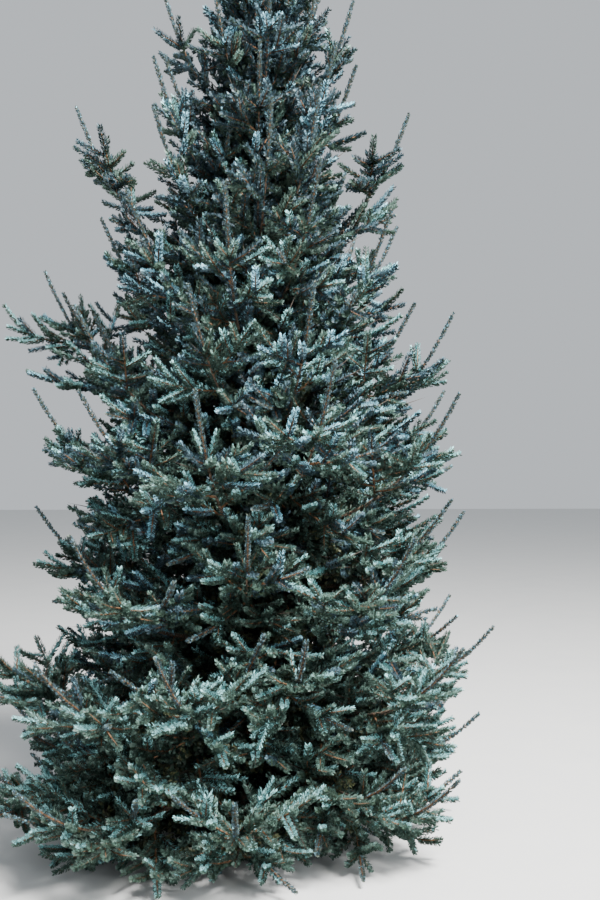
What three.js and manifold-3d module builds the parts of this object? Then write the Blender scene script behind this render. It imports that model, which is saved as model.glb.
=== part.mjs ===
// A Serbian spruce about four metres tall: one trunk, the main boughs, and the masses of foliage on them.
// Millimetres, +Z up. The origin is the middle of the trunk's flat cut at ground level.
import * as THREE from "three";
import { mergeVertices } from "three/addons/utils/BufferGeometryUtils.js";
import Module from "manifold-3d";

const wasm = await Module();
wasm.setup();

// The trunk: its height, its radii at the foot and the tip, the root flare at the ground, and its lean to the
// right for each millimetre up.
const TREE_HEIGHT = 4000;
const FOOT_RADIUS = 43;
const TIP_RADIUS = 3;
const FLARE = 27;
const FLARE_HEIGHT = 85;
const TRUNK_TAPER = 1.1;
const TRUNK_LEAN = 0.018;
const TRUNK_SWAY = 14;
const TRUNK_SWAYS = 1.3;
const TRUNK_SIDES = 12;
const TRUNK_RINGS = 16;
const RING_CROWDING = 1.7;

// The storeys of boughs, from the ground up. A bough leaves the trunk at `height`, reaches `reach` out,
// starts at the slope `start` and bends up by `lift`. `turn` is the compass angle of the storey's first
// bough, where 0 is +X and 90 is +Y, and `boughs` of them stand round the trunk.
const STOREYS = [
  { height: 290, boughs: 6, turn: 22, reach: 830, start: -0.4, lift: 0.32 },
  { height: 600, boughs: 5, turn: 42, reach: 860, start: -0.25, lift: 0.32 },
  { height: 920, boughs: 5, turn: 6, reach: 800, start: -0.1, lift: 0.34 },
  { height: 1250, boughs: 5, turn: 40, reach: 740, start: 0.05, lift: 0.36 },
  { height: 1580, boughs: 5, turn: 2, reach: 670, start: 0.18, lift: 0.38 },
  { height: 1910, boughs: 5, turn: 38, reach: 590, start: 0.32, lift: 0.42 },
  { height: 2230, boughs: 4, turn: 85, reach: 470, start: 0.45, lift: 0.46 },
  { height: 2540, boughs: 4, turn: 40, reach: 350, start: 0.58, lift: 0.5 },
  { height: 2840, boughs: 4, turn: 85, reach: 265, start: 0.7, lift: 0.55 },
  { height: 3130, boughs: 3, turn: 15, reach: 185, start: 0.8, lift: 0.6 },
  { height: 3400, boughs: 2, turn: 70, reach: 110, start: 0.95, lift: 0.7 },
];
// The lower storeys carry their foliage on bare limbs, and in the others it begins at the trunk.
const STOREYS_WITH_LIMBS = 2;
const BARE_SHARE = 0.3;
// Boughs that stand out of the crown's cone or fall short of it, by storey and place, with the share of
// its storey's reach that each one has.
const STANDOUTS = {
  1.4: 1.1,
  2.3: 1.16,
  3.1: 0.88,
  3.3: 1.12,
  3.4: 1.08,
  4.3: 1.08,
  5.1: 1.06,
  5.3: 1.52,
  6.3: 0.88,
  7.2: 1.34,
  7.4: 1.14,
  8.2: 1.1,
  8.3: 1.12,
  9.2: 1.3,
  9.4: 1.2,
  10.2: 1.3,
};

// How far chance moves a bough: its height, its compass angle, its reach and its sideways bend.
const HEIGHT_SPREAD = 55;
const TURN_SPREAD = 9;
const REACH_SPREAD = 0.07;
const BEND_SPREAD = 0.12;

// Wood along a bough, as radii at its root and at its tip.
const LIMB_RADIUS = 4;
const LIMB_RADIUS_PER_REACH = 0.013;
const SHOOT_RADIUS = 3;
const LIMB_SIDES = 6;
const LIMB_RINGS = 4;
const STEM_SIDES = 3;
const STEM_RINGS = 4;

// Fronds: flat sprays of needled side shoots on one axis, left and right along a bough, and one at its end.
const FIRST_FROND = 0.14;
const LAST_FROND = 0.93;
const END_FROND_AT = 0.92;
const FROND_SPACING = 84;
const LEAST_FRONDS = 4;
const FROND_SPREAD = 54;
const FROND_ROLLS = [-24, 42, -44, 20];
const ROOT_ROLL_SHARE = 1.7;
const FROND_TWISTS = [50, -55, -40, 60];
const ANGLE_SPREAD = 9;
const FROND_MIN = 100;
const FROND_PER_REACH = 0.185;
const FROND_PER_REST = 0.42;
const LENGTH_SPREAD = 0.12;
const FROND_RISE = 0.16;
const END_FROND = 200;
const END_FROND_PER_REACH = 0.12;
const END_RISE = 0.3;

// The teeth of a frond stand for its side shoots, and its last part is the leading shoot on its own.
const TOOTH_TILT = THREE.MathUtils.degToRad(50);
const TOOTH_SPACING = 135;
const LEAST_TEETH = 2;
const MOST_TEETH = 3;
const TOOTH_MIN = 90;
const TOOTH_PER_FROND = 0.5;
const TOOTH_NARROWING = 0.5;
const TOOTH_DROOP = 0.14;
const LEADER_SHARE = 0.36;
const END_LEADER_SHARE = 0.55;
const BLADE_HALF_WIDTH = 46;
const BLADE_HALF_THICKNESS = 11;
const BLADE_TAPER = 0.62;
const NECK_AT = 0.07;
const NECK_SIZE = 0.5;

// Space round the solids.
const SEAT_GAP = 0.3;
const SPACE_LINE_STEPS = 8;
const OWN_SPACE_MARGIN = 7;
const FROND_MARGIN = 4;
const TRUNK_MARGIN = 14;
const GROUND_MARGIN = 12;
const LENGTH_TRIES = [1, 0.88, 0.76, 0.64, 0.52];
const TOOTH_TRIES = [1, 0.85, 0.7, 0.55, 0.4, 0.3];
const MERGE_DISTANCE = 1e-3;
const LEAST_EDGE = 0.05;

const WOOD = new THREE.MeshStandardMaterial({ color: 0x5b4638, roughness: 0.9, metalness: 0 });
const NEEDLES = new THREE.MeshStandardMaterial({ color: 0x6d8f92, roughness: 0.6, metalness: 0 });

const UP = new THREE.Vector3(0, 0, 1);
const AHEAD = new THREE.Vector3(0, 1, 0);
const radians = THREE.MathUtils.degToRad;
const blend = THREE.MathUtils.lerp;

// Chance from 0 to 1 for a numbered thing. The same numbers always give the same chance.
function chance(...numbers) {
  let mixed = 20477;
  for (const number of numbers) {
    mixed = Math.imul(mixed ^ (number + 101), 2654435761);
    mixed ^= mixed >>> 15;
    mixed = Math.imul(mixed, 2246822519);
    mixed ^= mixed >>> 13;
  }
  return (mixed >>> 0) / 4294967296;
}

// The same chance, from -1 to 1.
const spread = (...numbers) => 2 * chance(...numbers) - 1;

function trunkRadius(z) {
  const share = 1 - z / TREE_HEIGHT;
  return TIP_RADIUS + (FOOT_RADIUS - TIP_RADIUS) * share ** TRUNK_TAPER + FLARE * Math.exp(-z / FLARE_HEIGHT);
}

// The trunk's middle line leans and sways a little, and stands over the origin at the ground.
function trunkCentre(z) {
  const turn = (2 * Math.PI * TRUNK_SWAYS * z) / TREE_HEIGHT;
  const across = TRUNK_LEAN * z + TRUNK_SWAY * Math.sin(turn);
  return new THREE.Vector3(across, (TRUNK_SWAY * (1 - Math.cos(turn))) / 2, z);
}

// A bough's numbers, from its storey's by chance.
function boughOf(storey, place) {
  const { height, boughs, turn, reach, start, lift } = STOREYS[storey - 1];
  const angle = radians(turn + (360 * (place - 1)) / boughs + TURN_SPREAD * spread(storey, place, 1));
  const standout = STANDOUTS[`${storey}.${place}`] ?? 1;
  const out = reach * standout * (1 + REACH_SPREAD * spread(storey, place, 2));
  const root = trunkCentre(height + HEIGHT_SPREAD * spread(storey, place, 3));
  const bend = BEND_SPREAD * spread(storey, place, 4);
  const ahead = new THREE.Vector3(Math.cos(angle), Math.sin(angle), 0);
  const aside = new THREE.Vector3(-ahead.y, ahead.x, 0);
  const point = (t) =>
    root
      .clone()
      .addScaledVector(ahead, out * t)
      .addScaledVector(aside, out * bend * t * t)
      .addScaledVector(UP, out * (start * t + lift * t ** 3));
  const heading = (t) =>
    ahead
      .clone()
      .addScaledVector(aside, 2 * bend * t)
      .addScaledVector(UP, start + 3 * lift * t * t)
      .normalize();
  const rootRadius = LIMB_RADIUS + LIMB_RADIUS_PER_REACH * out;
  const radius = (t) => blend(rootRadius, SHOOT_RADIUS, t);
  return { storey, place, out, point, heading, radius };
}

// Where along its bough the foliage begins: past the bare limb, or near the trunk.
const foliageFrom = ({ storey }) => (storey <= STOREYS_WITH_LIMBS ? BARE_SHARE : FIRST_FROND);

// The fronds of a bough: where each leaves it, which way it goes, how long it is and how it bends up.
function frondsOf(bough) {
  const { storey, place, out, point, heading } = bough;
  const from = foliageFrom(bough);
  const count = Math.max(LEAST_FRONDS, Math.round((out * (LAST_FROND - from)) / FROND_SPACING));
  const fronds = [];
  for (let k = 0; k < count; k++) {
    const t = from + ((LAST_FROND - from) * (k + 0.5)) / count;
    const hand = (k + place) % 2 ? 1 : -1;
    const turnOf = (angles, draw) =>
      radians(angles[(k >> 1) % angles.length] + ANGLE_SPREAD * spread(storey, place, draw, k));
    const roll = turnOf(FROND_ROLLS, 5) * (ROOT_ROLL_SHARE - t);
    const twist = hand * turnOf(FROND_TWISTS, 7);
    const forward = heading(t);
    const side = UP.clone().cross(forward).normalize();
    const over = forward.clone().cross(side);
    const outward = side.multiplyScalar(hand * Math.cos(roll)).addScaledVector(over, Math.sin(roll));
    const tilt = radians(FROND_SPREAD);
    const direction = forward.clone().multiplyScalar(Math.cos(tilt)).addScaledVector(outward, Math.sin(tilt));
    const inPlane = forward.clone().applyAxisAngle(direction, twist);
    const grown = FROND_MIN + out * (FROND_PER_REACH + FROND_PER_REST * (1 - t));
    const length = grown * (1 + LENGTH_SPREAD * spread(storey, place, 6, k));
    fronds.push({ base: point(t), direction, inPlane, length, rise: FROND_RISE, leader: LEADER_SHARE });
  }
  const forward = heading(END_FROND_AT);
  fronds.push({
    base: point(END_FROND_AT),
    direction: forward,
    inPlane: UP.clone().cross(forward).normalize(),
    length: END_FROND + END_FROND_PER_REACH * out,
    rise: END_RISE,
    leader: END_LEADER_SHARE,
  });
  return fronds;
}

// The middle line of a frond, which bends up towards its end.
function frondAxis({ base, direction, length, rise }, w) {
  return base
    .clone()
    .addScaledVector(direction, length * w)
    .addScaledVector(UP, length * rise * w * w);
}

// The points of a frond's blade. It grows from a point on the stem through a neck. At each station after it
// are a ridge above and below the axis, a valley on either side, and a tooth on either side for the shoots.
// Each tooth is the longest of its lengths that has room. Where the rest hasn't, there are no points.
function bladePoints(frond, hasRoom) {
  const { direction, inPlane, length, leader, rise } = frond;
  const teeth = THREE.MathUtils.clamp(Math.round(length / TOOTH_SPACING), LEAST_TEETH, MOST_TEETH);
  const beside = inPlane.clone().addScaledVector(direction, -inPlane.dot(direction)).normalize();
  const over = direction.clone().cross(beside);
  const ringAt = (w, size) => {
    const middle = frondAxis(frond, w);
    const offset = (way, distance) =>
      [1, -1].map((sign) => middle.clone().addScaledVector(way, sign * distance));
    const ridge = offset(over, BLADE_HALF_THICKNESS * size);
    const valley = offset(beside, BLADE_HALF_WIDTH * size);
    return { middle, ridge, valley };
  };
  const stations = [ringAt(NECK_AT, NECK_SIZE)];
  for (let i = 1; i <= teeth; i++) {
    const w = blend(NECK_AT, 1 - leader, i / teeth);
    const station = ringAt(w, 1 - BLADE_TAPER * w);
    const reach = (TOOTH_MIN + TOOTH_PER_FROND * length) * (1 - TOOTH_NARROWING * w);
    station.tooth = [1, -1].map((hand) => {
      const way = direction.clone().multiplyScalar(Math.cos(TOOTH_TILT));
      way
        .addScaledVector(beside, hand * Math.sin(TOOTH_TILT))
        .addScaledVector(UP, 2 * rise * w - TOOTH_DROOP);
      const tipAt = (share) => station.middle.clone().addScaledVector(way, reach * share);
      return TOOTH_TRIES.map(tipAt).find(hasRoom);
    });
    if (!(station.tooth.every(Boolean) && [...station.ridge, ...station.valley].every(hasRoom))) return null;
    stations.push(station);
  }
  const tip = frondAxis(frond, 1);
  return hasRoom(tip) ? { root: frondAxis(frond, 0), stations, tip } : null;
}

// A closed toothed blade through those points.
function bladeGeometry({ root, stations, tip }) {
  const corners = [];
  const triangle = (a, b, c, turned) => corners.push(...(turned ? [a, c, b] : [a, b, c]));
  for (const face of [0, 1]) {
    for (const hand of [0, 1]) {
      const turned = face !== hand;
      triangle(root, stations[0].ridge[face], stations[0].valley[hand], turned);
      for (let i = 1; i < stations.length; i++) {
        const [back, front] = [stations[i - 1], stations[i]];
        triangle(back.ridge[face], front.ridge[face], front.valley[hand], turned);
        triangle(back.ridge[face], front.valley[hand], front.tooth[hand], turned);
        triangle(back.ridge[face], front.tooth[hand], back.valley[hand], turned);
      }
      triangle(stations.at(-1).ridge[face], tip, stations.at(-1).valley[hand], turned);
    }
  }
  return new THREE.BufferGeometry().setFromPoints(corners);
}

// A cylinder bent along a line. From 0 to 1, `centre` gives its middle, `ahead` its heading and `thickness`
// its radius.
function bentCylinder(sides, rings, centre, ahead, thickness) {
  const geometry = new THREE.CylinderGeometry(1, 1, 1, sides, rings);
  const position = geometry.attributes.position;
  const corner = new THREE.Vector3();
  for (let i = 0; i < position.count; i++) {
    corner.fromBufferAttribute(position, i);
    const share = corner.y + 0.5;
    const forward = ahead(share);
    const side = (forward === UP ? AHEAD : UP).clone().cross(forward).normalize();
    const over = forward.clone().cross(side);
    const placed = centre(share)
      .addScaledVector(side, corner.z * thickness(share))
      .addScaledVector(over, corner.x * thickness(share));
    position.setXYZ(i, placed.x, placed.y, placed.z);
  }
  return geometry;
}

function solidOf(geometry) {
  const bare = geometry.clone();
  bare.deleteAttribute("normal");
  bare.deleteAttribute("uv");
  const merged = mergeVertices(bare, MERGE_DISTANCE);
  const vertProperties = merged.attributes.position.array;
  const triVerts = new Uint32Array(merged.index.array);
  return new wasm.Manifold(new wasm.Mesh({ numProp: 3, vertProperties, triVerts }));
}

// The largest body of a solid: sealed hollows are filled, and loose scraps and hair-thin edges are dropped.
function largestBody(solid) {
  const bodies = solid.simplify(LEAST_EDGE).decompose();
  return bodies.reduce((a, b) => (b.volume() > a.volume() ? b : a));
}

function meshOf(name, solid, material) {
  const { vertProperties, triVerts } = solid.getMesh();
  const geometry = new THREE.BufferGeometry();
  geometry.setAttribute("position", new THREE.BufferAttribute(vertProperties, 3));
  geometry.setIndex(new THREE.BufferAttribute(triVerts, 1));
  const mesh = new THREE.Mesh(geometry, material);
  mesh.name = name;
  return mesh;
}

// The trunk, or with `extra` the space that what meets it keeps clear of. Its rings lie closer together in
// the flare.
function trunkSolid(extra) {
  const height = (share) => TREE_HEIGHT * share ** RING_CROWDING;
  return solidOf(
    bentCylinder(
      TRUNK_SIDES,
      TRUNK_RINGS,
      (share) => trunkCentre(height(share)),
      () => UP,
      (share) => trunkRadius(height(share)) + extra,
    ),
  );
}

// Wood along a bough from one share of its length to another.
function limbSolid(bough, from, to, sides, rings) {
  const at = (share) => blend(from, to, share);
  return solidOf(
    bentCylinder(
      sides,
      rings,
      (share) => bough.point(at(share)),
      (share) => bough.heading(at(share)),
      (share) => bough.radius(at(share)),
    ),
  );
}

// The lines that share out the crown's space: each bough's own, on through its last frond.
function spaceLine(bough) {
  const line = [];
  for (let i = 1; i <= SPACE_LINE_STEPS; i++) line.push(bough.point(i / SPACE_LINE_STEPS));
  const end = frondsOf(bough).at(-1);
  line.push(frondAxis(end, 0.5), frondAxis(end, 1));
  return line;
}

function distanceToLine(p, line) {
  const nearest = new THREE.Vector3();
  let least = Infinity;
  for (let i = 1; i < line.length; i++) {
    new THREE.Line3(line[i - 1], line[i]).closestPointToPoint(p, true, nearest);
    least = Math.min(least, nearest.distanceTo(p));
  }
  return least;
}

// Whether a point is nearer its own line than any other, by a margin.
function isNearest(p, own, lines, margin) {
  const mine = distanceToLine(p, lines[own]) + margin;
  return lines.every((line, i) => i === own || distanceToLine(p, line) > mine);
}

// Whether a point is in the bough's own space: nearer its line than any other's, off the trunk and above the
// ground.
function inOwnSpace(p, own, lines) {
  if (p.z < GROUND_MARGIN) return false;
  const centre = trunkCentre(p.z);
  if (Math.hypot(p.x - centre.x, p.y - centre.y) < trunkRadius(p.z) + TRUNK_MARGIN) return false;
  return isNearest(p, own, lines, OWN_SPACE_MARGIN);
}

// The longest of a frond's blades that has room, or nothing.
function fittedBlade(frond, hasRoom) {
  for (const share of LENGTH_TRIES) {
    const points = bladePoints({ ...frond, length: frond.length * share }, hasRoom);
    if (points) return solidOf(bladeGeometry(points));
  }
  return null;
}

// A mass of foliage: its stem and the fronds that have room, fused into one solid and cut clear of the trunk.
// A frond has room where the bough has, and where it is nearer its own axis than the bough's other fronds.
function foliageSolid(bough, from, free, trunkSpace) {
  const fronds = frondsOf(bough);
  const axes = fronds.map((frond) => [0, 0.5, 1].map((w) => frondAxis(frond, w)));
  let mass = limbSolid(bough, from, 1, STEM_SIDES, STEM_RINGS);
  fronds.forEach((frond, own) => {
    const blade = fittedBlade(frond, (p) => free(p) && isNearest(p, own, axes, FROND_MARGIN));
    if (blade) mass = mass.add(blade);
  });
  return largestBody(from > 0 ? mass : mass.subtract(trunkSpace));
}

function buildSpruce() {
  const spruce = new THREE.Group();
  const trunkSpace = trunkSolid(SEAT_GAP);
  spruce.add(meshOf("trunk", trunkSolid(0), WOOD));

  const boughs = STOREYS.flatMap((storey, i) =>
    Array.from({ length: storey.boughs }, (_, place) => boughOf(i + 1, place + 1)),
  );
  const lines = boughs.map(spaceLine);
  boughs.forEach((bough, own) => {
    const label = `${bough.storey}_${bough.place}`;
    const hasLimb = bough.storey <= STOREYS_WITH_LIMBS;
    if (hasLimb) {
      const limb = limbSolid(bough, 0, BARE_SHARE, LIMB_SIDES, LIMB_RINGS).subtract(trunkSpace);
      spruce.add(meshOf(`bough_${label}`, largestBody(limb), WOOD));
    }
    const from = hasLimb ? BARE_SHARE + SEAT_GAP / bough.out : 0;
    const free = (p) => inOwnSpace(p, own, lines);
    spruce.add(meshOf(`foliage_${label}`, foliageSolid(bough, from, free, trunkSpace), NEEDLES));
  });
  return spruce;
}

export default buildSpruce();
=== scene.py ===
# A Serbian spruce with silver-blue needles: trunk, boughs, fronds, shoots and needles over its solids.
# Metres, +Z up. The photo's camera looks along +Y, and the origin is the trunk's foot.
import math

import bpy
import numpy as np
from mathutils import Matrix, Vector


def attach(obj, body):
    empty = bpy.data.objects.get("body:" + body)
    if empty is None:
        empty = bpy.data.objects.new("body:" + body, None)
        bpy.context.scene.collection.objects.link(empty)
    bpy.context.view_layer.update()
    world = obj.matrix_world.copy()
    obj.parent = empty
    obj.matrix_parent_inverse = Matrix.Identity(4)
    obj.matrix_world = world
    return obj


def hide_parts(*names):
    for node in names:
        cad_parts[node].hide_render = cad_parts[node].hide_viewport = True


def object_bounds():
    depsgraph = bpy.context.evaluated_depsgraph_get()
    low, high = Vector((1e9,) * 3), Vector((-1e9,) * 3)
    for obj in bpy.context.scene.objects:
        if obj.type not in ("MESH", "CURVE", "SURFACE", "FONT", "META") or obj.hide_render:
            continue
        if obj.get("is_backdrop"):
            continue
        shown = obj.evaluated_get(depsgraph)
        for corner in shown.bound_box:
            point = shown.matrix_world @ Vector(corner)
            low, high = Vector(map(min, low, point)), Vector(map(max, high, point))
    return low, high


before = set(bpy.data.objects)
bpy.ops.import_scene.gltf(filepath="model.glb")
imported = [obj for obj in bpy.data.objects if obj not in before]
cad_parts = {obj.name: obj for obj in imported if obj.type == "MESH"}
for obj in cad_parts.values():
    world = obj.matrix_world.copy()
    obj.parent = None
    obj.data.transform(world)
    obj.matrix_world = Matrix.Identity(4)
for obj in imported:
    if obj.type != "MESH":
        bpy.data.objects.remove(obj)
cad_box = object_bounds()


# Camera. A grown-up's eye height, a few steps off, with a short portrait lens held level. The trunk stands
# left of the middle and the tree's top is above the frame. The lens takes its sizes in millimetres.
IMAGE_WIDTH = 600
IMAGE_HEIGHT = 900
EYE_HEIGHT = 1.55
EYE_DISTANCE = 4.6
FOCAL_PIXELS = 1100
TRUNK_PIXEL_X = 250
HORIZON_PIXEL_Y = 460
SENSOR_MILLIMETRES = 36

lens = bpy.data.cameras.new("camera")
lens.sensor_fit = "VERTICAL"
lens.sensor_height = SENSOR_MILLIMETRES
lens.sensor_width = SENSOR_MILLIMETRES
lens.lens = SENSOR_MILLIMETRES * FOCAL_PIXELS / IMAGE_HEIGHT
camera = bpy.data.objects.new("camera", lens)
bpy.context.scene.collection.objects.link(camera)
bpy.context.scene.camera = camera
camera_yaw = math.atan((IMAGE_WIDTH / 2 - TRUNK_PIXEL_X) / FOCAL_PIXELS)
camera_pitch = math.atan((HORIZON_PIXEL_Y - IMAGE_HEIGHT / 2) / FOCAL_PIXELS)
camera.location = (0, -EYE_DISTANCE, EYE_HEIGHT)
camera.rotation_euler = (math.pi / 2 + camera_pitch, 0, -camera_yaw)


# Trunk. One straight stem of softwood under thin bark that flakes in small grey-brown plates, with a slight
# sway, a flare at the roots and a flat cut at the ground. It runs up through the whole crown.
TREE_HEIGHT = 4.0
FOOT_RADIUS = 0.043
TIP_RADIUS = 0.003
FLARE = 0.027
FLARE_HEIGHT = 0.085
TRUNK_TAPER = 1.1
TRUNK_LEAN = 0.018
TRUNK_SWAY = 0.014
TRUNK_SWAYS = 1.3
TRUNK_SIDES = 24
TRUNK_RINGS = 72
RING_CROWDING = 1.5
BUTTRESSES = 5
BUTTRESS_DEPTH = 0.05
BARK_RELIEF = 0.0016
BARK_PLATE = 0.016
PLATE_SPACING = 2.4
PLATE_STRETCH = 0.6
PLATE_STEEPNESS = 2
PLATE_SEED = 3
BARK_WAVES = 6
THINNEST = 1e-4
PLAIN_TIP = 0.001

UP = np.array([0.0, 0.0, 1.0])


def trunk_radius(z):
    share = np.maximum(1 - z / TREE_HEIGHT, 0)
    return TIP_RADIUS + (FOOT_RADIUS - TIP_RADIUS) * share**TRUNK_TAPER + FLARE * np.exp(-z / FLARE_HEIGHT)


def trunk_centre(z):
    turn = 2 * math.pi * TRUNK_SWAYS * z / TREE_HEIGHT
    across = TRUNK_LEAN * z + TRUNK_SWAY * np.sin(turn)
    return np.stack([across, TRUNK_SWAY * (1 - np.cos(turn)) / 2, z * np.ones_like(turn)], -1)


def points_of(piece):
    flat = np.empty(len(piece.data.vertices) * 3)
    piece.data.vertices.foreach_get("co", flat)
    return flat.reshape(-1, 3)


def place_points(piece, points):
    piece.data.vertices.foreach_set("co", np.ascontiguousarray(points, dtype=np.float32).ravel())
    piece.data.update()


def start_modelling():
    if bpy.context.object and bpy.context.object.mode == "EDIT":
        bpy.ops.object.mode_set(mode="OBJECT")
    bpy.ops.object.select_all(action="DESELECT")


def bark_waves(points, scale, seed):
    """Lumps between -1 and 1 that change over `scale` metres, from a few crossed waves."""
    chance = np.random.default_rng(seed)
    total = np.zeros(len(points))
    for _ in range(BARK_WAVES):
        way = chance.normal(size=3)
        way *= 2 * math.pi / scale / np.linalg.norm(way)
        total += np.sin(points @ way + chance.uniform(0, 2 * math.pi))
    return total / (BARK_WAVES / 2)


start_modelling()
bpy.ops.mesh.primitive_circle_add(vertices=TRUNK_SIDES, radius=float(trunk_radius(0.0)), fill_type="NGON")
trunk = bpy.context.object
trunk.name = "trunk_wood"
bpy.ops.object.mode_set(mode="EDIT")
bpy.ops.mesh.select_all(action="SELECT")
ring_heights = TREE_HEIGHT * (np.arange(TRUNK_RINGS + 1) / TRUNK_RINGS) ** RING_CROWDING
for low, high in zip(ring_heights[:-1], ring_heights[1:]):
    step = trunk_centre(high) - trunk_centre(low)
    bpy.ops.mesh.extrude_region_move(TRANSFORM_OT_translate={"value": tuple(step)})
    shrink = float(trunk_radius(high) / trunk_radius(low))
    bpy.ops.transform.resize(value=(shrink, shrink, 1), center_override=tuple(trunk_centre(high)))
bpy.ops.mesh.select_all(action="SELECT")
bpy.ops.mesh.normals_make_consistent(inside=False)
bpy.ops.object.mode_set(mode="OBJECT")

subdivision = trunk.modifiers.new("finer", "SUBSURF")
subdivision.subdivision_type = "SIMPLE"
subdivision.levels = 1
subdivision.render_levels = 1
bpy.ops.object.modifier_apply(modifier="finer")
bark_points = points_of(trunk)
centres = trunk_centre(bark_points[:, 2])
outward = bark_points - centres
around = np.arctan2(outward[:, 1], outward[:, 0])
thickness = np.linalg.norm(outward, axis=1)
relief = BARK_RELIEF * np.minimum(1, thickness / FOOT_RADIUS)
plates = bark_waves(bark_points * [1, 1, PLATE_STRETCH], BARK_PLATE * PLATE_SPACING, PLATE_SEED)
buttress = BUTTRESS_DEPTH * np.cos(BUTTRESSES * around) * np.exp(-bark_points[:, 2] / FLARE_HEIGHT)
swell = 1 + buttress + relief * np.clip(plates * PLATE_STEEPNESS, -1, 1) / np.maximum(thickness, THINNEST)
swell[bark_points[:, 2] > TREE_HEIGHT - PLAIN_TIP] = 1
place_points(trunk, centres + outward * swell[:, None])
bpy.ops.object.shade_smooth()


class Wired:
    """A socket of a material's nodes that Python's operators can be used on."""

    def __init__(self, tree, socket):
        self.tree = tree
        self.socket = socket

    def feed(self, target):
        self.tree.links.new(self.socket, target)

    def math(self, operation, *values):
        return nodes_of(self.tree)("ShaderNodeMath", {"operation": operation}, dict(enumerate(values)))

    def __add__(self, other):
        return self.math("ADD", self, other)

    def __radd__(self, other):
        return self.math("ADD", other, self)

    def __sub__(self, other):
        return self.math("SUBTRACT", self, other)

    def __rsub__(self, other):
        return self.math("SUBTRACT", other, self)

    def __mul__(self, other):
        return self.math("MULTIPLY", self, other)

    def __rmul__(self, other):
        return self.math("MULTIPLY", other, self)


def nodes_of(tree):
    """The one way to add nodes: by type, with the settings first and then the sockets' values or links."""

    def add(kind, settings, inputs, output=0):
        node = tree.nodes.new(kind)
        for name, value in settings.items():
            setattr(node, name, value)
        for name, value in inputs.items():
            if isinstance(value, Wired):
                value.feed(node.inputs[name])
            else:
                node.inputs[name].default_value = value
        return Wired(tree, node.outputs[output])

    return add


def new_material(name, roughness, specular):
    """A material and what its maker needs: the way to add nodes, the place on the piece, the shader."""
    material = bpy.data.materials.new(name)
    material.use_nodes = True
    tree = material.node_tree
    shader = tree.nodes["Principled BSDF"]
    shader.inputs["Roughness"].default_value = roughness
    shader.inputs["Specular IOR Level"].default_value = specular
    add = nodes_of(tree)
    place = add("ShaderNodeTexCoord", {}, {}, "Object")
    return material, add, place, shader


# A Mix node names its sockets alike for numbers and for colours, so the colour ones go by place.
MIX_FIRST, MIX_SECOND, MIX_RESULT = 6, 7, 2
CRACK_WIDTH = 0.16
CRACK_SHADE = 0.35
CRACK_DEPTH = 0.7
GRAIN_DEPTH = 0.3
CRACK_ROUGHNESS = 0.95
PLATE_SMOOTHNESS = 0.15
LICHEN = (0.16, 0.15, 0.13)
LICHEN_SHARE = 0.5


def mixed(add, factor, first, second):
    """A mix of two colours, each of them plain or from another node."""
    first, second = [(*colour, 1) if isinstance(colour, tuple) else colour for colour in (first, second)]
    sockets = {"Factor": factor, MIX_FIRST: first, MIX_SECOND: second}
    return add("ShaderNodeMix", {"data_type": "RGBA"}, sockets, MIX_RESULT)


def noise(add, place, scale, detail, roughness):
    sockets = {"Vector": place, "Scale": scale, "Detail": detail, "Roughness": roughness}
    return add("ShaderNodeTexNoise", {}, sockets)


def emboss(add, shader, height, strength, distance):
    bump = add("ShaderNodeBump", {}, {"Height": height, "Strength": strength, "Distance": distance})
    bump.feed(shader.inputs["Normal"])


def bark_material(name, plate_size, light, dark):
    """Bark in small plates: dark cracks round paler plates, with a lichen-grey bloom over both."""
    material, add, place, shader = new_material(name, 0.85, 0.25)
    stretched = add("ShaderNodeMapping", {}, {"Vector": place, "Scale": (1, 1, 0.55)})
    cells = {"Vector": stretched, "Scale": 1 / plate_size, "Randomness": 0.9}
    edge = add("ShaderNodeTexVoronoi", {"feature": "DISTANCE_TO_EDGE"}, cells)
    plate = add("ShaderNodeMapRange", {}, {"Value": edge, "From Max": CRACK_WIDTH})
    grain = noise(add, stretched, 420.0, 4.0, 0.65)
    bloom = noise(add, place, 38.0, 3.0, 0.6)
    plates_colour = mixed(add, grain, dark, light)
    cracked = mixed(add, plate, tuple(CRACK_SHADE * part for part in dark), plates_colour)
    mixed(add, bloom * LICHEN_SHARE, cracked, LICHEN).feed(shader.inputs["Base Color"])
    emboss(add, shader, plate * CRACK_DEPTH + grain * GRAIN_DEPTH, 0.6, 0.002)
    rough = CRACK_ROUGHNESS - plate * PLATE_SMOOTHNESS
    rough.feed(shader.inputs["Roughness"])
    return material


trunk_bark = bark_material("trunk_bark", BARK_PLATE, (0.2, 0.135, 0.095), (0.075, 0.048, 0.034))
trunk.data.materials.append(trunk_bark)
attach(trunk, "root")
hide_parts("trunk")


# Boughs. One tapering limb each, in eleven storeys round the trunk: the low ones droop and turn up at the
# end, the high ones climb. Their bark is thinner and browner than the trunk's, and they swell to a collar
# at the root. Another bough stands between every two.
STOREYS = [
    dict(height=0.29, boughs=6, turn=22, reach=0.83, start=-0.4, lift=0.32),
    dict(height=0.6, boughs=5, turn=42, reach=0.86, start=-0.25, lift=0.32),
    dict(height=0.92, boughs=5, turn=6, reach=0.8, start=-0.1, lift=0.34),
    dict(height=1.25, boughs=5, turn=40, reach=0.74, start=0.05, lift=0.36),
    dict(height=1.58, boughs=5, turn=2, reach=0.67, start=0.18, lift=0.38),
    dict(height=1.91, boughs=5, turn=38, reach=0.59, start=0.32, lift=0.42),
    dict(height=2.23, boughs=4, turn=85, reach=0.47, start=0.45, lift=0.46),
    dict(height=2.54, boughs=4, turn=40, reach=0.35, start=0.58, lift=0.5),
    dict(height=2.84, boughs=4, turn=85, reach=0.265, start=0.7, lift=0.55),
    dict(height=3.13, boughs=3, turn=15, reach=0.185, start=0.8, lift=0.6),
    dict(height=3.4, boughs=2, turn=70, reach=0.11, start=0.95, lift=0.7),
]
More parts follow.
